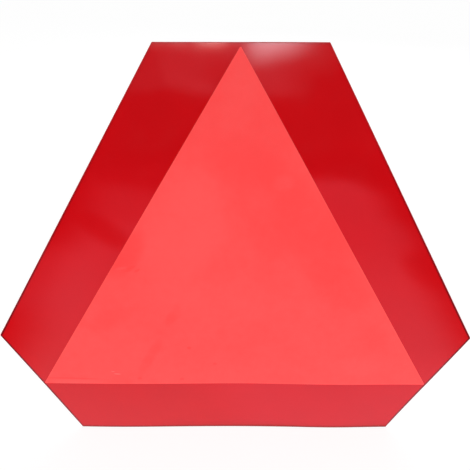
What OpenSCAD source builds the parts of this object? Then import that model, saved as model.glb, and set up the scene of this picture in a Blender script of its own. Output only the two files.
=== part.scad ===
// Slow moving vehicle sign: a thin flexible sheet with a red reflective face,
// cut to a triangle with its three points cut off, and a fluorescent triangle
// laid in the middle of it. There are no holes: the sign holds on by its back.
//
// The sign stands upright. Its back lies on the XZ plane, its front faces -Y
// and its short edge is at the top. The origin is on the back face, at the
// centre of the triangle, so each long edge is as far from it as the others.

/* [Sign outline] */
// Height of the sign, from the long bottom edge to the short top edge
sign_h = 355.6; // [250:0.1:500]
// Width of the red border along each long edge
border_w = 53; // [35:0.5:70]
// Radius of the six corners
corner_r = 1; // [0.3:0.1:5]

/* [Backing sheet] */
// Thickness of the dark flexible backing sheet
backing_t = 0.8; // [0.5:0.1:3]

/* [Red reflective sheet] */
// Thickness of the red reflective sheet
red_t = 0.25; // [0.1:0.05:0.6]
// Width of the backing left bare all round the red sheet
bare_edge = 0.4; // [0.1:0.1:0.7]

/* [Fluorescent triangle] */
// Thickness of the fluorescent film
film_t = 0.15; // [0.05:0.05:0.4]
// Distance that the film's edges stand back from the border line
film_setback = 0.5; // [0:0.1:3]
// Distance that the film was laid below the centre of the sign
film_drop = 0.9; // [0:0.1:3]

/* [Hidden] */
$fn = 48;

// Distances from the centre to the straight lines that bound each shape. The
// border line is the nominal edge of the middle triangle, and the short edges
// pass through that triangle's points, which are twice as far out.
border_line_d = (sign_h - border_w) / 3;
long_edge_d = border_line_d + border_w;
short_edge_d = 2 * border_line_d;

// The layers lie face to face, from the back of the sign to the front
red_back_y = -backing_t;
film_back_y = red_back_y - red_t;

// Equilateral triangle with one point up, its edges edge_d from the centre
module triangle(edge_d) {
    rotate(90)
        circle(r = 2 * edge_d, $fn = 3);
}

// The sign's six-sided outline, drawn in by inset on every side
module outline(inset = 0) {
    sharp_inset = inset + corner_r;
    offset(r = corner_r)
        intersection() {
            triangle(long_edge_d - sharp_inset);
            rotate(180)
                triangle(short_edge_d - sharp_inset);
        }
}

// A flat layer of thickness t, standing up, with its back face at back_y
module layer(back_y, t) {
    translate([0, back_y, 0])
        rotate([90, 0, 0])
            linear_extrude(height = t)
                children();
}

module backing_sheet() {
    color("#2b2422")
        layer(0, backing_t)
            outline();
}

module red_reflective_sheet() {
    color("#c4161c")
        layer(red_back_y, red_t)
            outline(bare_edge);
}

// The film is trimmed with the red sheet wherever a point would pass its edge
module fluorescent_triangle() {
    color("#ff5050")
        layer(film_back_y, film_t)
            intersection() {
                translate([0, -film_drop])
                    triangle(border_line_d - film_setback);
                outline(bare_edge);
            }
}

backing_sheet();
red_reflective_sheet();
fluorescent_triangle();
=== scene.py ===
"""Slow moving vehicle sign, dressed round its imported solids.

The sign is three thin sheets laid on each other: a dark flexible backing, a glossy red reflective
sheet and a matt fluorescent triangle. The solids are flat. Here each one is replaced by the same
sheet as it really lies, with the slight swells of a flexible sheet and softened edges. Everything is
in metres, and each sheet's outline and thickness are read from its solid.
"""

import logging
import math
from dataclasses import dataclass, field
from enum import Enum

import bmesh
import bpy
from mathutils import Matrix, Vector


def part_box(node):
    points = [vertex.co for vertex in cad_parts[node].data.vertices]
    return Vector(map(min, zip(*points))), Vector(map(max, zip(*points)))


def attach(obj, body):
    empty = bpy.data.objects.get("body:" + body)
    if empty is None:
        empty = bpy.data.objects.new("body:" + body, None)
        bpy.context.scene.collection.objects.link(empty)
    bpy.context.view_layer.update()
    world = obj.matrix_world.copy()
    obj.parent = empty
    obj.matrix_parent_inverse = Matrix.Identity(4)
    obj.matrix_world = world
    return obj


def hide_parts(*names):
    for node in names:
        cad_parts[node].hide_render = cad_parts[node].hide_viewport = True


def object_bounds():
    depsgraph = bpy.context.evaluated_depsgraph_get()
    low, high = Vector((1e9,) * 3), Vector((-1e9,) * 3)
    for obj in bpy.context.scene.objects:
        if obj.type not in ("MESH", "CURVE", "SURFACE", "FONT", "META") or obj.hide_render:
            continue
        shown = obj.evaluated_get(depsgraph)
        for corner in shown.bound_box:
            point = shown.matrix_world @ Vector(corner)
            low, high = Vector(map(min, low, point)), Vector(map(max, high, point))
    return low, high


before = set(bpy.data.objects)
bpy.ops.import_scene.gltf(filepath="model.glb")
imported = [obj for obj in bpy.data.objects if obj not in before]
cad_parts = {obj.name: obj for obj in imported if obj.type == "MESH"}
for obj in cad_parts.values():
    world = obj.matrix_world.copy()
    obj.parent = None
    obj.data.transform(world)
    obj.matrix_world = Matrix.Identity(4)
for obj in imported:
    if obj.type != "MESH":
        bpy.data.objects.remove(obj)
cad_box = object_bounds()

log = logging.getLogger("slow_moving_vehicle_sign")

MM = 0.001
BODY = "root"
# Points of an outline that agree to this many digits, in metres, are one point.
OUTLINE_DIGITS = 7
# A side of an outline that is shorter than this only rounds a corner.
SHORTEST_SIDE = 20 * MM
# What lies this near to a cutting plane counts as on it.
CUT_TOLERANCE = 1e-7
# Corners of a mesh that are nearer to each other than this become one.
WELD = 0.02 * MM
Pair = tuple[float, float]
Triple = tuple[float, float, float]
Colour = Triple
Settings = dict[str, object] | None
Inputs = dict[str | int, object] | None
Ring = list[bmesh.types.BMVert]
Faces = list[bmesh.types.BMFace]


class Value:
    """What one socket of a shader node puts out, with arithmetic that adds Math nodes."""

    def __init__(self, graph: "Graph", socket: bpy.types.NodeSocket) -> None:
        """Wraps a socket.

        Args:
            graph: The graph that the socket's node is in.
            socket: The output socket.
        """
        self.graph = graph
        self.socket = socket

    def __add__(self, other: "Value | float") -> "Value":
        """Adds a value or a number."""
        return self.graph.math("ADD", self, other)

    def __sub__(self, other: "Value | float") -> "Value":
        """Takes a value or a number away."""
        return self.graph.math("SUBTRACT", self, other)

    def __rsub__(self, other: float) -> "Value":
        """Takes this value away from a number."""
        return self.graph.math("SUBTRACT", other, self)

    def __mul__(self, other: "Value | float") -> "Value":
        """Multiplies by a value or a number."""
        return self.graph.math("MULTIPLY", self, other)

    def __truediv__(self, other: "Value | float") -> "Value":
        """Divides by a value or a number."""
        return self.graph.math("DIVIDE", self, other)

    __radd__ = __add__
    __rmul__ = __mul__

    def most(self, other: "Value | float") -> "Value":
        """The larger of this and another."""
        return self.graph.math("MAXIMUM", self, other)

    def least(self, other: "Value | float") -> "Value":
        """The smaller of this and another."""
        return self.graph.math("MINIMUM", self, other)

    def rise(self, low: float, high: float) -> "Value":
        """A smooth step.

        Args:
            low: The value at which the step is 0.
            high: The value at which the step is 1, which may be the smaller of the two.

        Returns:
            A value from 0 to 1.
        """
        if low > high:
            return 1.0 - self.rise(high, low)
        given = {"Value": self, "From Min": low, "From Max": high}
        return self.graph.out("ShaderNodeMapRange", {"interpolation_type": "SMOOTHSTEP"}, given)

    def between(self, start: float, end: float) -> "Value":
        """The start where this is 0, the end where it is 1, and in between elsewhere."""
        return self * (end - start) + start


# A value in a shader, or a plain number.
Number = Value | float


class Graph:
    """The node tree of one material or of the world."""

    def __init__(self, owner: bpy.types.Material | bpy.types.World) -> None:
        """Empties the node tree of a material or a world, to be filled anew.

        Args:
            owner: The material or the world.
        """
        owner.use_nodes = True
        self.tree = owner.node_tree
        self.tree.nodes.clear()
        self.result = "ShaderNodeOutputMaterial"
        if isinstance(owner, bpy.types.World):
            self.result = "ShaderNodeOutputWorld"

    def add(self, kind: str, settings: Settings = None, inputs: Inputs = None) -> bpy.types.Node:
        """Adds one node.

        Args:
            kind: The node's type.
            settings: Its own settings, which are set first.
            inputs: A value, a number or a tuple for each input, by its name or place.

        Returns:
            The node.
        """
        node = self.tree.nodes.new(kind)
        for name, setting in (settings or {}).items():
            setattr(node, name, setting)
        for key, given in (inputs or {}).items():
            if isinstance(given, Value):
                self.tree.links.new(given.socket, node.inputs[key])
            else:
                node.inputs[key].default_value = given
        return node

    def out(self, kind: str, settings: Settings = None, inputs: Inputs = None, key: str | int = 0) -> Value:
        """Adds one node and gives one of its outputs.

        Args:
            kind: The node's type.
            settings: Its own settings.
            inputs: What its inputs get.
            key: The output's name or place.

        Returns:
            The output.
        """
        return Value(self, self.add(kind, settings, inputs).outputs[key])

    def math(self, operation: str, first: Number, second: Number = 0.0) -> Value:
        """Adds a Math node."""
        return self.out("ShaderNodeMath", {"operation": operation}, {0: first, 1: second})

    def place(self) -> Value:
        """The place in the row's frame, as a vector in metres."""
        return self.out("ShaderNodeTexCoord", key="Object")

    def axes(self) -> tuple[Value, Value, Value]:
        """The place in the row's frame, part by part.

        Returns:
            Its x, y and z, in metres.
        """
        node = self.add("ShaderNodeSeparateXYZ", inputs={0: self.place()})
        x, y, z = (Value(self, socket) for socket in node.outputs)
        return x, y, z

    def mix(self, share: Number, first: Value | tuple, second: Value | tuple) -> Value:
        """Mixes two colours.

        Args:
            share: How much of the second there is.
            first: The first colour.
            second: The second colour.

        Returns:
            The mixed colour.
        """
        first_in, second_in, colour_out = 6, 7, 2
        given = {0: share, first_in: first, second_in: second}
        return self.out("ShaderNodeMix", {"data_type": "RGBA"}, given, colour_out)

    def blend(self, share: Number, first: Value, second: Value) -> Value:
        """Mixes two shaders.

        Args:
            share: How much of the second there is.
            first: The first shader.
            second: The second shader.

        Returns:
            The mixed shader.
        """
        return self.out("ShaderNodeMixShader", None, {0: share, 1: first, 2: second})

    def added(self, first: Value, second: Value) -> Value:
        """Adds up two shaders."""
        return self.out("ShaderNodeAddShader", None, {0: first, 1: second})

    def bump(self, height: Value, distance: float) -> Value:
        """A surface normal from a height.

        Args:
            height: The height, from 0 to 1.
            distance: What a height of 1 is, in metres.

        Returns:
            The normal.
        """
        given = {"Height": height, "Distance": distance, "Strength": 1.0}
        return self.out("ShaderNodeBump", None, given)

    def glow(self, colour: Colour, strength: float) -> Value:
        """A shader that gives out light."""
        return self.out("ShaderNodeEmission", None, {"Color": opaque(colour), "Strength": strength})

    def surface(self, shader: Value) -> None:
        """Makes a shader the tree's result."""
        self.add(self.result, inputs={"Surface": shader})


def opaque(colour: Colour) -> tuple[float, float, float, float]:
    """A colour with an alpha of 1."""
    return (*colour, 1.0)


def shaded(colour: Colour, share: float) -> Colour:
    """A colour made lighter or darker by one factor."""
    red, green, blue = colour
    return (red * share, green * share, blue * share)


def toned(graph: Graph, colour: Colour, shades: Pair, tone: Value) -> Value:
    """A colour that wanders between two shades of itself.

    Args:
        graph: The material's graph.
        colour: The colour.
        shades: Its darkest and its lightest shade, as factors.
        tone: 0 where it is darkest and 1 where it is lightest.

    Returns:
        The colour at each place.
    """
    darkest, lightest = (opaque(shaded(colour, share)) for share in shades)
    return graph.mix(tone, darkest, lightest)


def direction(degrees: float) -> Pair:
    """The unit vector at an angle above the X axis, as x and z."""
    return (math.cos(math.radians(degrees)), math.sin(math.radians(degrees)))


@dataclass(frozen=True)
class Noise:
    """Soft noise about 0.5.

    Attributes:
        size: The size of its patches.
        detail: How many finer layers it has.
        shift: Moves it, so that two noises of one size differ.
    """

    size: float
    detail: float = 2.0
    shift: float = 0.0

    def value(self, graph: Graph) -> Value:
        """The noise at each place, from 0 to 1."""
        given = {"Vector": graph.place(), "W": self.shift, "Scale": 1 / self.size, "Detail": self.detail}
        return graph.out("ShaderNodeTexNoise", {"noise_dimensions": "4D"}, given, "Fac")


@dataclass(frozen=True)
class Mark:
    """A long or round patch with a soft edge.

    Attributes:
        middle: Where its middle is, to the right and upwards.
        reach: Half its length and half its width.
        turn: The angle of its length above the X axis, in degrees.
        weight: How strong it is, which is less than 0 if it takes away.
    """

    middle: Pair
    reach: Pair
    turn: float = 0.0
    weight: float = 1.0

    def turned(self, right: Number, up: Number) -> tuple[Number, Number]:
        """A place as the mark has it.

        Args:
            right: The place, to the right.
            up: The place, upwards.

        Returns:
            How far along and how far across the mark it is, as shares of its reach.
        """
        c, s = direction(self.turn)
        from_x, from_z = right - self.middle[0], up - self.middle[1]
        along = (from_x * c + from_z * s) / self.reach[0]
        across = (from_z * c - from_x * s) / self.reach[1]
        return along, across

    def mask(self, right: Value, up: Value) -> Value:
        """The mark's share at a place: 1 in its middle and 0 outside it."""
        along, across = self.turned(right, up)
        return (along * along + across * across).rise(1.0, 0.0)


def strongest(marks: tuple[Mark, ...], right: Value, up: Value) -> Value:
    """One mask for several marks of one kind.

    Args:
        marks: The marks.
        right: The place, to the right.
        up: The place, upwards.

    Returns:
        A value from 0 to 1.
    """
    first, *others = (mark.mask(right, up) for mark in marks)
    for mask in others:
        first = first.most(mask)
    return first


@dataclass(frozen=True)
class Side:
    """One straight side of a sheet's outline.

    Attributes:
        turn: The way it faces, as an angle above the X axis, in degrees.
        reach: How far from the origin it is.
    """

    turn: float
    reach: float

    def depth(self, right: Value, up: Value) -> Value:
        """How far in from the side a place is."""
        c, s = direction(self.turn)
        return self.reach - (right * c + up * s)


def outline_of(node: str) -> list[Pair]:
    """The outline of a flat upright solid that is convex, seen from the front.

    Args:
        node: The solid's name.

    Returns:
        Its (x, z) points, in order round it.
    """
    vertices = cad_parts[node].data.vertices
    points = {(round(v.co.x, OUTLINE_DIGITS), round(v.co.z, OUTLINE_DIGITS)) for v in vertices}
    middle_x = sum(x for x, _ in points) / len(points)
    middle_z = sum(z for _, z in points) / len(points)
    return sorted(points, key=lambda point: math.atan2(point[1] - middle_z, point[0] - middle_x))


def blunted(outline: list[Pair], cut: float) -> list[Pair]:
    """An outline with each corner cut off.

    Args:
        outline: Its points, in order round it.
        cut: How far from the corner each cut begins.

    Returns:
        Two points for each corner.
    """
    points = []
    for before, here, after in zip(outline[-1:] + outline[:-1], outline, outline[1:] + outline[:1]):
        for other in (before, after):
            share = cut / math.dist(here, other)
            points.append(tuple(a + (b - a) * share for a, b in zip(here, other)))
    return points


def long_sides(outline: list[Pair]) -> list[Side]:
    """The straight sides of an outline, without the small ones that round its corners.

    Args:
        outline: Its points, in order round it.

    Returns:
        The sides.
    """
    sides = []
    for (x0, z0), (x1, z1) in zip(outline, outline[1:] + outline[:1]):
        if math.hypot(x1 - x0, z1 - z0) > SHORTEST_SIDE:
            turn = math.degrees(math.atan2(x0 - x1, z1 - z0))
            c, s = direction(turn)
            sides.append(Side(turn, x0 * c + z0 * s))
    return sides


class Finish:
    """The look of one material slot.

    In every finish, shades are its darkest and its lightest shade as factors, a span is where
    something begins and where it is whole, a share is how strongly something shows, the width of an
    edge is how far in it is whole and where it ends, and the relief is what stands out of its face.
    """

    slot: str

    def shader(self, graph: Graph, inward: Value) -> Value:
        """Builds the shader.

        Args:
            graph: The material's graph.
            inward: How far in from the sheet's edge a place is.

        Returns:
            The shader.
        """
        raise NotImplementedError

    def material(self, sides: list[Side]) -> bpy.types.Material:
        """Makes the material of one sheet.

        Args:
            sides: The straight sides of the sheet.

        Returns:
            The material.
        """
        material = bpy.data.materials.new(self.slot)
        graph = Graph(material)
        x, _, z = graph.axes()
        inward, *others = (side.depth(x, z) for side in sides)
        for depth in others:
            inward = inward.least(depth)
        graph.surface(self.shader(graph, inward))
        return material


@dataclass(frozen=True)
class RedReflective(Finish):
    """Clear-topped red reflective sheet, with fine beads under a glossy face and a dark cut edge.

    The cut edge, its own dark colour, shows whole at the lower corners. Towards the top it fades as a
    painted highlight where the top edge catches the light, and it is weaker again at the foot.
    The heights, from the foot up, are where the sides begin to lose it and where the foot's lack of
    it ends. The gloss is its roughness where it is clean and where it is smudged.
    """

    slot: str = "red_reflective"
    colour: Colour = (0.600, 0.0032, 0.0062)
    shades: Pair = (0.96, 1.03)
    beads: Noise = Noise(0.5 * MM, 0.0)
    bead_share: float = 0.5
    cloud: Noise = Noise(48 * MM, 3.0, 3.0)
    tone_span: Pair = (0.2, 0.8)
    cut_edge: Colour = (0.130, 0.0030, 0.0060)
    cut_edge_width: Pair = (0.4 * MM, 2.0 * MM)
    # Painted highlight: how much of the dark cut edge is left at the top, where the top edge catches the
    # light.
    painted_lit_top_share: float = 0.20
    corner_height: float = 92 * MM
    foot_share: float = 0.40
    foot_height: float = 12 * MM
    smudge: Noise = Noise(20 * MM, 3.0, 7.0)
    smudge_span: Pair = (0.45, 0.8)
    gloss: Pair = (0.062, 0.105)
    peel: Noise = Noise(3.2 * MM, 1.0, 5.0)
    peel_height: float = 0.0006 * MM
    ior: float = 1.5

    def shader(self, graph: Graph, inward: Value) -> Value:
        """Builds the shader.

        Args:
            graph: The material's graph.
            inward: How far in from the sheet's edge a place is.

        Returns:
            The shader.
        """
        tone = (self.beads.value(graph) - 0.5) * self.bead_share + self.cloud.value(graph)
        colour = toned(graph, self.colour, self.shades, tone.rise(*self.tone_span))
        edge = self._edge_share(graph, inward)
        smudge = self.smudge.value(graph).rise(*self.smudge_span)
        given = {
            "Base Color": graph.mix(edge, colour, opaque(self.cut_edge)),
            "Roughness": smudge.between(*self.gloss),
            "IOR": self.ior,
            "Normal": graph.bump(self.peel.value(graph), self.peel_height),
        }
        return graph.out("ShaderNodeBsdfPrincipled", None, given)

    def _edge_share(self, graph: Graph, inward: Value) -> Value:
        """How much of the cut edge's colour there is: most at the corners, less at the foot, and less at
        the top as a painted highlight of the lit top edge.

        Args:
            graph: The material's graph.
            inward: How far in from the sheet's edge a place is.

        Returns:
            A value from 0 to 1.
        """
        low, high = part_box("red_reflective_sheet")
        _, _, z = graph.axes()
        full, none = self.cut_edge_width
        # The cut edge fades towards the top: a painted highlight of the lit top edge.
        down = z.rise(high.z, low.z + self.corner_height).between(self.painted_lit_top_share, 1.0)
        foot = z.rise(low.z, low.z + self.foot_height).between(self.foot_share, 1.0)
        return inward.rise(none, full) * down * foot


@dataclass(frozen=True)
class FluorescentFilm(Finish):
    """Matt fluorescent film, a little uneven where it was pressed down.

    Its tone goes from deep to pale. The shares of the tone and of the relief are in the order of the
    noises. The patches hold its small spots and painted light too: painted shade and highlight along
    its creases, a painted highlight along the lower left of its edge and painted shade towards its
    apex. A painted highlight also runs along its whole edge.
    """

    slot: str = "fluorescent_film"
    deep: Colour = (0.95, 0.0263, 0.0253)
    pale: Colour = (1.0, 0.0603, 0.0580)
    tone_span: Pair = (-0.45, 1.1)
    middle_tone: float = 0.46
    broad: Noise = Noise(42 * MM, 2.0, 1.0)
    blotch: Noise = Noise(8 * MM, 2.0, 2.0)
    grain: Noise = Noise(1.4 * MM, 1.0, 4.0)
    tone_shares: Triple = (0.70, 0.75, 0.25)
    # A painted highlight along the film's edge: how strong it is, and how far in it is whole and where it
    # ends.
    painted_edge_highlight: float = 0.25
    painted_edge_highlight_width: Pair = (0.45 * MM, 1.35 * MM)
    scratch: Colour = (1.0, 0.17, 0.16)
    scratch_share: float = 0.7
    speck: Colour = (0.62, 0.032, 0.032)
    speck_share: float = 0.5
    glow: Colour = (1.0, 0.02, 0.01)
    glow_strength: float = 0.04
    roughness: Pair = (0.48, 0.62)
    relief_shares: Pair = (0.6, 0.2)
    relief_height: float = 0.05 * MM
    ior: float = 1.45
    patches: tuple[Mark, ...] = (
        Mark((-40 * MM, 58 * MM), (62 * MM, 38 * MM), 62, 0.42),
        Mark((-2 * MM, 162 * MM), (32 * MM, 17 * MM), 80, 0.22),
        Mark((34 * MM, 98 * MM), (11 * MM, 9 * MM), 0, 0.42),
        Mark((-20 * MM, -5 * MM), (70 * MM, 36 * MM), -10, 0.15),
        Mark((110 * MM, -80 * MM), (34 * MM, 12 * MM), 0, 0.20),
        Mark((3 * MM, 112 * MM), (40 * MM, 27 * MM), -20, -0.30),
        Mark((56 * MM, 68 * MM), (72 * MM, 30 * MM), -52, -0.52),
        Mark((86 * MM, 2 * MM), (40 * MM, 24 * MM), -40, -0.36),
        Mark((24 * MM, 52 * MM), (32 * MM, 20 * MM), -60, -0.26),
        Mark((4 * MM, 70 * MM), (30 * MM, 22 * MM), -60, -0.18),
        Mark((60 * MM, 26 * MM), (34 * MM, 15 * MM), -50, -0.22),
        Mark((-90 * MM, 34 * MM), (31 * MM, 14 * MM), 59, -0.62),
        Mark((-108 * MM, -30 * MM), (26 * MM, 12 * MM), 30, -0.24),
        Mark((-54 * MM, -26 * MM), (16 * MM, 6 * MM), 58, -0.34),
        # Painted shade along the diagonal crease.
        Mark((-76 * MM, -70 * MM), (27 * MM, 6 * MM), 62, -0.40),
        Mark((122 * MM, -48 * MM), (20 * MM, 13 * MM), -58, -0.18),
        # Painted shade: the film darker towards its apex, where less light falls.
        Mark((0 * MM, 185 * MM), (110 * MM, 80 * MM), 90, -0.38),
        # Painted shade and highlight beside the small creases: dark lines beside the ridges and a pale one
        # on a ridge.
        Mark((-87.0 * MM, 21.8 * MM), (4.6 * MM, 1.6 * MM), 26, -1.4),
        Mark((-89.6 * MM, 18.9 * MM), (4.2 * MM, 1.4 * MM), 15, -0.5),
        Mark((-82.3 * MM, 19.0 * MM), (3.4 * MM, 1.4 * MM), 30, -0.7),
        Mark((-95.4 * MM, 21.0 * MM), (6.0 * MM, 1.8 * MM), 12, 0.6),
        # A painted highlight along the lower left of the film's edge, with a thin darker line just above
        # it.
        Mark((-147 * MM, -98.4 * MM), (32 * MM, 3.4 * MM), -1, 0.5),
        Mark((-147 * MM, -95.0 * MM), (30 * MM, 1.3 * MM), -1, -0.6),
        Mark((-41.5 * MM, -60.1 * MM), (2.4 * MM, 2.0 * MM), 0, -0.8),
        Mark((-18.6 * MM, -77.9 * MM), (2.4 * MM, 2.0 * MM), 0, -0.6),
        Mark((-48.6 * MM, -95.4 * MM), (2.6 * MM, 2.0 * MM), 0, -0.6),
        Mark((-86.6 * MM, -94.5 * MM), (2.6 * MM, 2.0 * MM), 0, -0.6),
    )
    scratches: tuple[Mark, ...] = (
        Mark((-106.6 * MM, -89.6 * MM), (4.2 * MM, 0.8 * MM), -3),
        Mark((-110.4 * MM, -86.8 * MM), (2.2 * MM, 0.5 * MM), -10),
    )
    specks: tuple[Mark, ...] = (
        Mark((69 * MM, -29 * MM), (1.5 * MM, 0.8 * MM), 10),
    )

    def shader(self, graph: Graph, inward: Value) -> Value:
        """Builds the shader.

        Args:
            graph: The material's graph.
            inward: How far in from the sheet's edge a place is.

        Returns:
            The shader.
        """
        x, _, z = graph.axes()
        noises = (self.broad, self.blotch, self.grain)
        broad, blotch, grain = (noise.value(graph) - 0.5 for noise in noises)
        broad_share, blotch_share, grain_share = self.tone_shares
        tone = broad * broad_share + blotch * blotch_share + grain * grain_share + self.middle_tone
        for patch in self.patches:
            tone = tone + patch.mask(x, z) * patch.weight
        # A painted highlight: the film is lighter within about a millimetre of its edge.
        full, none = self.painted_edge_highlight_width
        tone = tone + inward.rise(none, full) * self.painted_edge_highlight
        colour = graph.mix(tone.rise(*self.tone_span), opaque(self.deep), opaque(self.pale))
        scratched = strongest(self.scratches, x, z) * self.scratch_share
        colour = graph.mix(scratched, colour, opaque(self.scratch))
        specked = strongest(self.specks, x, z) * self.speck_share
        colour = graph.mix(specked, colour, opaque(self.speck))
        blotch_height, grain_height = self.relief_shares
        given = {
            "Base Color": colour,
            "Roughness": (blotch + 0.5).between(*self.roughness),
            "IOR": self.ior,
            "Emission Color": opaque(self.glow),
            "Emission Strength": self.glow_strength,
            "Normal": graph.bump(blotch * blotch_height + grain * grain_height, self.relief_height),
        }
        return graph.out("ShaderNodeBsdfPrincipled", None, given)


@dataclass(frozen=True)
class DarkBacking(Finish):
    """Dark flexible magnetic sheet, with a fine dull grain, faint roller lines and a dyed cut edge.

    The shares of its tone are the grain's, the clouding's and the lines', and those of its relief are
    the grain's and the lines'. The lines wander by a share of their pitch.
    """

    slot: str = "dark_backing"
    colour: Colour = (0.024, 0.018, 0.016)
    shades: Pair = (0.62, 1.6)
    cut_edge: Colour = (0.580, 0.0120, 0.0150)
    cut_edge_width: Pair = (0.405 * MM, 0.495 * MM)
    grain: Noise = Noise(0.9 * MM, 1.0)
    cloud: Noise = Noise(60 * MM, 4.0, 6.0)
    roller_pitch: float = 4.0 * MM
    wander: Noise = Noise(90 * MM, 1.0, 9.0)
    wander_share: float = 1.4
    tone_shares: Triple = (0.3, 0.6, 0.1)
    tone_span: Pair = (0.3, 0.7)
    roughness: Pair = (0.38, 0.78)
    relief_shares: Pair = (0.6, 0.4)
    relief_height: float = 0.03 * MM

    def shader(self, graph: Graph, inward: Value) -> Value:
        """Builds the shader.

        Args:
            graph: The material's graph.
            inward: How far in from the sheet's edge a place is.

        Returns:
            The shader.
        """
        x, _, _ = graph.axes()
        grain, cloud = self.grain.value(graph), self.cloud.value(graph)
        wander = (self.wander.value(graph) - 0.5) * (self.wander_share * self.roller_pitch)
        lines = graph.math("SINE", (x + wander) * (math.tau / self.roller_pitch)) * 0.5 + 0.5
        grain_share, cloud_share, line_share = self.tone_shares
        tone = grain * grain_share + cloud * cloud_share + lines * line_share
        colour = toned(graph, self.colour, self.shades, tone.rise(*self.tone_span))
        full, none = self.cut_edge_width
        edge = inward.rise(none, full)
        grain_height, line_height = self.relief_shares
        given = {
            "Base Color": graph.mix(edge, colour, opaque(self.cut_edge)),
            "Roughness": cloud.between(*self.roughness),
            "Normal": graph.bump(grain * grain_height + lines * line_height, self.relief_height),
        }
        return graph.out("ShaderNodeBsdfPrincipled", None, given)


@dataclass(frozen=True)
class Swell:
    """A soft rise or dip in a flexible sheet.

    Attributes:
        middle: Where its middle is, to the right and upwards.
        height: How far its middle stands towards the front, which is less than 0 in a dip.
        reach: How far it spreads to the sides, and up and down.
    """

    middle: Pair
    height: float
    reach: Pair

    def lift(self, x: float, z: float) -> float:
        """How far the sheet stands towards the front at a place."""
        across, up = (x - self.middle[0]) / self.reach[0], (z - self.middle[1]) / self.reach[1]
        return self.height * math.exp(-(across**2) - up**2)


@dataclass(frozen=True)
class Crease(Mark):
    """A fine ridge in the film, along a short line. Its weight is how far it stands out."""

    def lift(self, x: float, z: float) -> float:
        """How far the film stands towards the front at a place."""
        along, across = self.turned(x, z)
        return self.weight * math.exp(-(along**4) - across**2)


SWELLS = (
    Swell((-112 * MM, -150 * MM), 1.20 * MM, (55 * MM, 60 * MM)),
    Swell((5 * MM, -118 * MM), -1.35 * MM, (46 * MM, 36 * MM)),
    Swell((90 * MM, -160 * MM), 0.65 * MM, (30 * MM, 45 * MM)),
    Swell((157 * MM, -130 * MM), -0.90 * MM, (34 * MM, 60 * MM)),
    Swell((-52 * MM, 200 * MM), 0.28 * MM, (34 * MM, 110 * MM)),
    Swell((45 * MM, 200 * MM), -0.32 * MM, (42 * MM, 110 * MM)),
)

CREASES = (
    Crease((-92.0 * MM, 23.6 * MM), (9.0 * MM, 1.6 * MM), 12, 0.12 * MM),
    Crease((-84.5 * MM, 20.4 * MM), (6.0 * MM, 1.5 * MM), 16, 0.10 * MM),
    Crease((-97.5 * MM, 18.5 * MM), (5.0 * MM, 1.5 * MM), 20, 0.06 * MM),
    Crease((-74.0 * MM, -66.0 * MM), (16.0 * MM, 2.6 * MM), 64, 0.10 * MM),
)

# How far the top edge rises to the right, as a share of its length.
TOP_SLOPE = 0.0085


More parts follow.
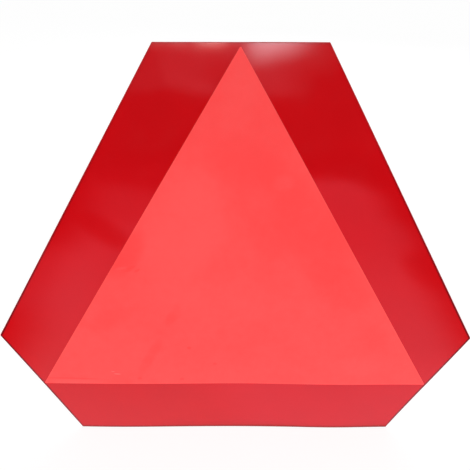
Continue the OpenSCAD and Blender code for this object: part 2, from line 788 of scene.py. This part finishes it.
@dataclass
class Sheet:
    """One thin sheet of the sign, which stands for its flat solid.

    Attributes:
        node: The solid's name.
        finish: Its look.
        edge: How far its edges are softened.
        shape: The swells and creases that it lies in.
        cell: The size of its mesh's cells, which is small where it has creases.
        trim: How much smaller it is cut, as a share of its size.
        slide: How far to the right and upwards it was laid.
        blunt: How far from its corners they are cut off.
        top_slope: How far its top edge rises to the right, as a share of its length.
        top_band: How far below its highest point its top edge may reach.
        edge_steps: How many bands a softened edge has.
        edge_gap: How far inside the outline the front's grid ends, as a multiple of the edge.
        grid_start: How far outside the solid the grid begins, in cells. It isn't a whole number, so
            that no line of the grid meets a corner.
        spare_cells: How many cells more than the solid's size the grid has, each way.
    """

    node: str
    finish: Finish
    edge: float
    shape: tuple[Swell | Crease, ...] = SWELLS
    cell: float = 4 * MM
    trim: float = 0.0
    slide: Pair = (0.0, 0.0)
    blunt: float = 0.0
    top_slope: float = 0.0
    top_band: float = 1 * MM
    edge_steps: int = 3
    edge_gap: float = 4.0
    grid_start: Pair = (0.63, 0.41)
    spare_cells: int = 2
    piece: bpy.types.Object | None = field(default=None, init=False)

    def build(self) -> None:
        """Makes the sheet's mesh: its front, a softened edge all round and its back."""
        low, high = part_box(self.node)
        front, back = low.y, high.y
        mesh = bmesh.new()
        cap = self._cap(mesh, front)
        rim = self._rim(mesh)
        outward = self._outward(rim)
        places = [vert.co.copy() for vert in rim]
        last = rim
        for reach, depth in self._profile(front, back):
            ring = [
                mesh.verts.new((place.x + way.x * reach, depth, place.z + way.z * reach))
                for place, way in zip(places, outward)
            ]
            self._bridge(mesh, last, ring)
            last = ring
        back_rim = [mesh.verts.new((place.x, back, place.z)) for place in places]
        self._bridge(mesh, last, back_rim)
        self._close_back(mesh, cap, dict(zip(rim, back_rim)), back)
        for vert in mesh.verts:
            vert.co.y -= sum(part.lift(vert.co.x, vert.co.z) for part in self.shape)
        bmesh.ops.recalc_face_normals(mesh, faces=mesh.faces[:])
        for face in mesh.faces:
            face.smooth = True
        data = bpy.data.meshes.new(f"wavy_{self.node}")
        mesh.to_mesh(data)
        mesh.free()
        self.piece = bpy.data.objects.new(f"wavy_{self.node}", data)
        bpy.context.scene.collection.objects.link(self.piece)

    def outline(self) -> list[Pair]:
        """Its outline as it was cut and laid, which is the solid's but for a hair.

        Returns:
            Its (x, z) points, in order round it.
        """
        (right, up), kept = self.slide, 1 - self.trim
        points = [(x * kept + right, z * kept + up) for x, z in outline_of(self.node)]
        top = max(z for _, z in points) - self.top_band
        points = [(x, z + self.top_slope * x if z > top else z) for x, z in points]
        return blunted(points, self.blunt) if self.blunt else points

    def _short(self) -> float:
        """How far inside the outline the front's grid ends."""
        return self.edge * self.edge_gap

    def _profile(self, front: float, back: float) -> list[Pair]:
        """The section of the edge, from the front to the back.

        Args:
            front: Where the front is, along Y.
            back: Where the back is, along Y.

        Returns:
            How far outside the front's grid each ring is, and where it is along Y.
        """
        flat = self._short() - self.edge
        rounded = []
        for step in range(self.edge_steps + 1):
            turn = math.pi / 2 * step / self.edge_steps
            rounded.append((flat + self.edge * math.sin(turn), self.edge * (1 - math.cos(turn))))
        near = [(reach, front + depth) for reach, depth in rounded]
        far = [(reach, back - depth) for reach, depth in reversed(rounded)]
        return near + far

    def _cap(self, mesh: bmesh.types.BMesh, front: float) -> Faces:
        """Lays a grid and cuts it to the outline, short of the softened edge.

        Args:
            mesh: The mesh to fill.
            front: Where the front is, along Y.

        Returns:
            The front's faces.
        """
        outline = self.outline()
        low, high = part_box(self.node)
        columns = math.ceil((high.x - low.x) / self.cell) + self.spare_cells
        rows = math.ceil((high.z - low.z) / self.cell) + self.spare_cells
        before, below = self.grid_start
        corners = {}
        for i in range(columns + 1):
            for j in range(rows + 1):
                place = (low.x + (i - before) * self.cell, front, low.z + (j - below) * self.cell)
                corners[i, j] = mesh.verts.new(place)
        for i in range(columns):
            for j in range(rows):
                around = ((i, j), (i + 1, j), (i + 1, j + 1), (i, j + 1))
                mesh.faces.new([corners[corner] for corner in around])
        for (x0, z0), (x1, z1) in zip(outline, outline[1:] + outline[:1]):
            outward = Vector((z1 - z0, 0.0, x0 - x1)).normalized()
            bmesh.ops.bisect_plane(
                mesh,
                geom=mesh.verts[:] + mesh.edges[:] + mesh.faces[:],
                dist=CUT_TOLERANCE,
                plane_co=Vector((x0, 0.0, z0)) - outward * self._short(),
                plane_no=outward,
                clear_outer=True,
            )
        bmesh.ops.remove_doubles(mesh, verts=mesh.verts[:], dist=WELD)
        return mesh.faces[:]

    @staticmethod
    def _rim(mesh: bmesh.types.BMesh) -> Ring:
        """Follows the front's boundary.

        Args:
            mesh: The mesh, which has only its front so far.

        Returns:
            Its points, in order round it.
        """
        came_by = next(edge for edge in mesh.edges if edge.is_boundary)
        rim = list(came_by.verts)
        while rim[-1] is not rim[0]:
            came_by = next(e for e in rim[-1].link_edges if e.is_boundary and e is not came_by)
            rim.append(came_by.other_vert(rim[-1]))
        return rim[:-1]

    @staticmethod
    def _outward(rim: Ring) -> list[Vector]:
        """How each point of a ring moves where the ring grows by 1.

        Args:
            rim: The ring.

        Returns:
            A vector for each point, longer than 1 at a corner.
        """
        middle = sum((v.co for v in rim), Vector()) / len(rim)
        normals = []
        for here, after in zip(rim, rim[1:] + rim[:1]):
            run = after.co - here.co
            normal = Vector((run.z, 0.0, -run.x)).normalized()
            normals.append(normal if normal.dot(here.co - middle) > 0 else -normal)
        before = normals[-1:] + normals[:-1]
        return [(a + b) / (1.0 + a.dot(b)) for a, b in zip(before, normals)]

    @staticmethod
    def _bridge(mesh: bmesh.types.BMesh, first: Ring, second: Ring) -> None:
        """Joins two rings of as many points with a band of faces.

        Args:
            mesh: The mesh.
            first: The one ring.
            second: The other ring.
        """
        for i in range(len(first)):
            j = (i + 1) % len(first)
            mesh.faces.new([first[i], first[j], second[j], second[i]])

    @staticmethod
    def _close_back(
        mesh: bmesh.types.BMesh,
        cap: Faces,
        rim: dict[bmesh.types.BMVert, bmesh.types.BMVert],
        back: float,
    ) -> None:
        """Copies the front's faces to the back.

        Args:
            mesh: The mesh.
            cap: The front's faces.
            rim: The back's point for each point of the front's boundary.
            back: Where the back is, along Y.
        """
        copies = dict(rim)
        for face in cap:
            for vert in face.verts:
                if vert not in copies:
                    copies[vert] = mesh.verts.new((vert.co.x, back, vert.co.z))
        for face in cap:
            mesh.faces.new([copies[vert] for vert in reversed(face.verts[:])])

    def dress(self) -> None:
        """Gives the sheet its finish, and its place on the sign."""
        slot, data = self.finish.slot, self.piece.data
        data.materials.append(self.finish.material(long_sides(self.outline())))
        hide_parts(self.node)
        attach(self.piece, BODY)
        log.info("%s: %d faces, finish %s", self.piece.name, len(data.polygons), slot)


@dataclass
class Sign:
    """The whole sign: its sheets, from the back to the front."""

    sheets: list[Sheet] = field(
        default_factory=lambda: [
            Sheet("backing_sheet", DarkBacking(), edge=0.15 * MM, top_slope=TOP_SLOPE),
            Sheet("red_reflective_sheet", RedReflective(), edge=0.05 * MM, top_slope=TOP_SLOPE),
            Sheet(
                "fluorescent_triangle",
                FluorescentFilm(),
                edge=0.04 * MM,
                shape=SWELLS + CREASES,
                cell=1.5 * MM,
                trim=0.0022,
                slide=(-0.25 * MM, 0.0),
                blunt=0.9 * MM,
            ),
        ]
    )

    def build(self) -> None:
        """Makes and dresses each sheet."""
        for sheet in self.sheets:
            sheet.build()
            sheet.dress()


class Facing(Enum):
    """Which way a flat panel of the studio faces."""

    UP = 0
    BACK = 1


@dataclass(frozen=True)
class Panel:
    """A flat rectangle of the studio.

    Attributes:
        name: Its name.
        x: Its left and right sides.
        across: Its front and back sides, or its lower and upper ones if it stands up.
        at: Its height, or its place along Y if it stands up.
        facing: Which way it faces.
    """

    name: str
    x: Pair
    across: Pair
    at: float
    facing: Facing

    def build(self, material: bpy.types.Material) -> bpy.types.Object:
        """Makes the panel.

        Args:
            material: Its material.

        Returns:
            The panel, which isn't part of the object.
        """
        (left, right), (low, high) = self.x, self.across
        flat = [(left, low), (right, low), (right, high), (left, high)]
        if self.facing is Facing.UP:
            corners = [(x, y, self.at) for x, y in flat]
        else:
            corners = [(x, self.at, z) for x, z in flat]
        data = bpy.data.meshes.new(self.name)
        data.from_pydata(corners, [], [(0, 1, 2, 3)])
        data.materials.append(material)
        panel = bpy.data.objects.new(self.name, data)
        bpy.context.scene.collection.objects.link(panel)
        return panel


@dataclass(frozen=True)
class Window:
    """A soft-edged rectangle of light on a card.

    Attributes:
        x: Its left and right edges, where its light is half.
        across: Its other two edges.
        soft: Half the width of its fading edges: left and right, at the start and at the end.
        light: Its strength.
        lean: How far its other two edges drop for each metre to the right.
        colour: The colour of its light, which is that of a dim room's wall unless it is given.
    """

    x: Pair
    across: Pair
    soft: Triple
    light: float
    lean: float = 0.0
    colour: Colour = (1.6, 0.82, 1.0)

    def mask(self, right: Value, along: Value) -> Value:
        """Its share of its light at a place on the card.

        Args:
            right: The place along X.
            along: The place the other way.

        Returns:
            A value from 0 to 1.
        """
        leaning = along + right * self.lean
        (west, east), (start, end) = self.x, self.across
        side, first, last = self.soft
        sides = right.rise(west - side, west + side) * right.rise(east + side, east - side)
        ends = leaning.rise(start - first, start + first) * leaning.rise(end + last, end - last)
        return sides * ends


@dataclass(frozen=True)
class Card:
    """A dark card with soft light on it, which only a glossy face shows.

    Attributes:
        panel: Its shape and place.
        windows: The patches of light on it.
        shades: Darker patches over them.
    """

    panel: Panel
    windows: tuple[Window, ...]
    shades: tuple[Mark, ...]

    def build(self) -> None:
        """Makes the card."""
        material = bpy.data.materials.new(self.panel.name)
        graph = Graph(material)
        x, y, z = graph.axes()
        along = y if self.panel.facing is Facing.UP else z
        dark = graph.glow((0.0, 0.0, 0.0), 0.0)
        light = dark
        for window in self.windows:
            bright = graph.glow(window.colour, window.light)
            light = graph.added(light, graph.blend(window.mask(x, along), dark, bright))
        for shade in self.shades:
            light = graph.blend(shade.mask(x, along) * shade.weight, light, dark)
        graph.surface(light)
        card = self.panel.build(material)
        card.visible_camera = False
        card.visible_diffuse = False
        card.visible_transmission = False
        card.visible_shadow = False


@dataclass(frozen=True)
class Lamp:
    """A soft rectangular lamp.

    Attributes:
        name: Its name.
        place: Where it is, with its height above the floor.
        aim: The point it shines at, with its height above the floor.
        size: Its width and height.
        watts: Its power.
    """

    name: str
    place: Triple
    aim: Triple
    size: Pair
    watts: float

    def build(self, floor: float) -> None:
        """Makes the lamp, which gloss doesn't show.

        Args:
            floor: The height of the floor.
        """
        data = bpy.data.lights.new(self.name, "AREA")
        data.shape = "RECTANGLE"
        data.size, data.size_y = self.size
        data.energy = self.watts
        lamp = bpy.data.objects.new(self.name, data)
        bpy.context.scene.collection.objects.link(lamp)
        lamp.location = Vector(self.place) + Vector((0.0, 0.0, floor))
        lamp.rotation_mode = "QUATERNION"
        lamp.rotation_quaternion = (Vector(self.aim) - Vector(self.place)).to_track_quat("-Z", "Y")
        lamp.visible_glossy = False
        lamp.visible_camera = False


def shown_background(graph: Graph) -> Value:
    """Tells apart the rays that find a white background: those of the camera, gloss and glass.

    Args:
        graph: The graph to add it to.

    Returns:
        1 for those rays and 0 for the rest.
    """
    path = graph.add("ShaderNodeLightPath")
    camera, glossy, glass = (
        Value(graph, path.outputs[name])
        for name in ("Is Camera Ray", "Is Glossy Ray", "Is Transmission Ray")
    )
    return camera.most(glossy).most(glass)


@dataclass(frozen=True)
class Studio:
    """A pale floor, soft light, and the cards that the gloss shows.

    Attributes:
        floor_half: Half the floor's width.
        world_light: The strength of the light from all round.
        floor_glow: The strength of the white that the floor shows.
        floor_lit: How much of the lamps' light, and so of the shadow, the floor shows.
        floor_colour: The floor's colour where it lights the object.
        card_half: Half the cards' width.
        near_card_reach: The far and the near side of the lying card, along Y.
        near_card_height: Its height above the floor.
        far_card_place: The place of the standing card, along Y.
        far_card_height: Its height.
        day_white: The colour of plain daylight.
        warm_day: The colour of warm daylight.
        paper_white: The colour of pale paper.
        rosy_paper: The colour of pink paper.
        warm_paper: The colour of red paper.
        ember: The colour of a dim red glow.
        lamps: The lamps. The bounce light lies just above the near card and reaches as far towards
            the sign, so that the sign's lowest edge is lit like the rest.
    """

    floor_half: float = 6.0
    world_light: float = 0.60
    floor_glow: float = 0.86
    floor_lit: float = 0.25
    floor_colour: Colour = (0.85, 0.85, 0.85)
    card_half: float = 1.5
    near_card_reach: Pair = (-1.16, -0.0035)
    near_card_height: float = 0.6 * MM
    far_card_place: float = -1.15
    far_card_height: float = 0.8
    day_white: Colour = (0.84, 0.93, 1.0)
    warm_day: Colour = (1.45, 0.95, 0.88)
    paper_white: Colour = (0.95, 0.82, 0.93)
    rosy_paper: Colour = (2.0, 0.84, 1.16)
    warm_paper: Colour = (3.5, 0.82, 1.12)
    ember: Colour = (1.0, 0.06, 0.10)
    lamps: tuple[Lamp, ...] = (
        Lamp("key_softbox", (0.0, -1.5, 1.25), (0.0, 0.0, 0.15), (1.4, 1.0), 3.1),
        Lamp("front_strip", (0.0, -0.30, 0.214), (0.0, 0.0, 0.214), (1.2, 0.1), 0.42),
        Lamp("bounce_light", (0.0, -0.155, 0.001), (0.0, -0.155, 1.0), (1.0, 0.303), 0.82),
        Lamp("back_fill", (0.5, 1.4, 1.05), (0.0, 0.0, 0.15), (1.2, 1.0), 6.0),
    )

    def build(self, floor: float) -> None:
        """Makes the floor, the world, the lamps and the cards.

        Args:
            floor: The height of the floor.
        """
        self._world()
        half = self.floor_half
        Panel("floor", (-half, half), (-half, half), floor, Facing.UP).build(self._floor_paint())
        self._near_card(floor).build()
        self._far_card(floor).build()
        for lamp in self.lamps:
            lamp.build(floor)
            log.info("%s: %.2f W", lamp.name, lamp.watts)

    def _world(self) -> None:
        """White where it is seen, and plain soft light elsewhere."""
        world = bpy.data.worlds.new("studio")
        bpy.context.scene.world = world
        graph = Graph(world)
        unseen, seen = (
            graph.out("ShaderNodeBackground", None, {"Color": (1, 1, 1, 1), "Strength": strength})
            for strength in (self.world_light, 1.0)
        )
        graph.surface(graph.blend(shown_background(graph), unseen, seen))

    def _floor_paint(self) -> bpy.types.Material:
        """White where it is seen, less the object's soft shadow.

        Returns:
            The floor's material.
        """
        material = bpy.data.materials.new("floor_paint")
        graph = Graph(material)
        faint = shaded(self.floor_colour, self.floor_lit)
        paint = graph.out("ShaderNodeBsdfDiffuse", None, {"Color": opaque(self.floor_colour)})
        lit = graph.out("ShaderNodeBsdfDiffuse", None, {"Color": opaque(faint)})
        seen = graph.added(lit, graph.glow((1, 1, 1), self.floor_glow))
        graph.surface(graph.blend(shown_background(graph), paint, seen))
        return material

    def _near_card(self, floor: float) -> Card:
        """The card that lies on the floor in front: pale near the sign and dark further off.

        Args:
            floor: The height of the floor.

        Returns:
            The card, whose patches that end at "past" run on over its near side.
        """
        left, right, past = -0.232, 0.252, 0.3
        warm, rosy, paper, ember = self.warm_paper, self.rosy_paper, self.paper_white, self.ember
        width, height = (-self.card_half, self.card_half), floor + self.near_card_height
        return Card(
            Panel("near_card", width, self.near_card_reach, height, Facing.UP),
            (
                Window((left, 0.0), (-0.478, -0.060), (0.046, 0.050, 0.060), 0.39, -0.40, warm),
                Window((left, 0.0), (-0.060, past), (0.046, 0.060, 0.050), 0.39, -0.40, paper),
                Window((0.0, right), (-0.615, -0.200), (0.036, 0.028, 0.070), 0.40, colour=warm),
                Window((0.0, right), (-0.200, past), (0.036, 0.070, 0.050), 0.40, colour=rosy),
                Window((left, right), (-0.300, past), (0.042, 0.110, 0.050), 0.22, colour=paper),
                Window((left, right), (-0.160, past), (0.042, 0.110, 0.050), 0.16, colour=paper),
                Window((left, right), (-0.060, past), (0.042, 0.070, 0.050), 0.34, colour=paper),
                Window((-0.300, -0.205), (-0.350, -0.188), (0.032, 0.050, 0.040), 0.22, colour=warm),
                Window((-0.260, 0.260), (-0.670, -0.520), (0.042, 0.040, 0.080), 0.40, colour=ember),
                Window((0.020, 0.300), (-0.075, past), (0.060, 0.030, 0.050), 0.08, colour=paper),
                Window((0.236, 0.280), (-0.435, -0.350), (0.026, 0.030, 0.030), 0.12, colour=rosy),
            ),
            (
                Mark((-0.205, -0.410), (0.120, 0.031), 51, 0.78),
                Mark((-0.205, -0.490), (0.140, 0.090), 0, 0.35),
                Mark((0.262, -0.625), (0.115, 0.070), 60, 0.85),
                Mark((0.266, -0.290), (0.066, 0.040), 85, 0.60),
            ),
        )

    def _far_card(self, floor: float) -> Card:
        """The card that stands in front, further off: dim, with bright strips on it.

        Args:
            floor: The height of the floor.

        Returns:
            The card.
        """
        high, day, warm = 0.40, self.day_white, self.warm_day
        width, rise = (-self.card_half, self.card_half), (floor, floor + self.far_card_height)
        return Card(
            Panel("far_card", width, rise, self.far_card_place, Facing.BACK),
            (
                Window((-0.300, 0.170), (-0.140, high), (0.050, 0.013, 0.050), 0.20),
                Window((-0.185, 0.030), (-0.160, high), (0.022, 0.009, 0.050), 0.13, 0.20),
                Window((0.050, 0.170), (-0.142, high), (0.050, 0.018, 0.050), 0.22),
                Window((-0.165, -0.095), (-0.125, -0.088), (0.020, 0.014, 0.014), 0.07),
                Window((-0.100, -0.030), (-0.140, -0.112), (0.015, 0.010, 0.010), 0.12),
                Window((0.064, 0.182), (-0.060, high), (0.040, 0.050, 0.050), 9.7, -0.29, day),
                Window((0.180, 0.245), (-0.070, high), (0.030, 0.040, 0.050), 0.30, colour=day),
                Window((-0.240, 0.030), (-0.006, high), (0.030, 0.030, 0.050), 2.5, colour=warm),
                Window((-0.140, -0.100), (-0.006, high), (0.020, 0.030, 0.050), 2.4, colour=warm),
                Window((-0.068, -0.004), (-0.006, high), (0.020, 0.028, 0.050), 10.0, colour=warm),
            ),
            (
                Mark((-0.020, -0.085), (0.045, 0.050), 0, 0.40),
                Mark((-0.150, -0.150), (0.085, 0.030), 0, 1.0),
            ),
        )


@dataclass(frozen=True)
class CloseCamera:
    """A camera held close in front of the sign and above it, looking down.

    Attributes:
        place: Where it is.
        turn: Its turns about X, Y and Z, in degrees.
        lens_mm: Its lens's focal length, in millimetres.
        sensor_mm: Its sensor's width, in millimetres.
        clip: The nearest and the farthest that it sees.
    """

    place: Triple = (-0.0074, -0.4352, 0.2819)
    turn: Triple = (62.169, -0.703, -0.299)
    lens_mm: float = 47.23
    sensor_mm: float = 36.0
    clip: Pair = (0.01, 50.0)

    def build(self) -> None:
        """Makes the camera the scene's own."""
        data = bpy.data.cameras.new("close_camera")
        data.lens = self.lens_mm
        data.sensor_width = self.sensor_mm
        data.clip_start, data.clip_end = self.clip
        camera = bpy.data.objects.new("close_camera", data)
        bpy.context.scene.collection.objects.link(camera)
        camera.location = self.place
        camera.rotation_euler = [math.radians(angle) for angle in self.turn]
        bpy.context.scene.camera = camera


def main() -> None:
    """Builds the sign, the camera and the studio round them."""
    logging.basicConfig(level=logging.INFO, format="%(message)s")
    bpy.context.scene.view_settings.view_transform = "Standard"
    Sign().build()
    CloseCamera().build()
    Studio().build(cad_box[0].z)


if __name__ == "__main__":
    main()
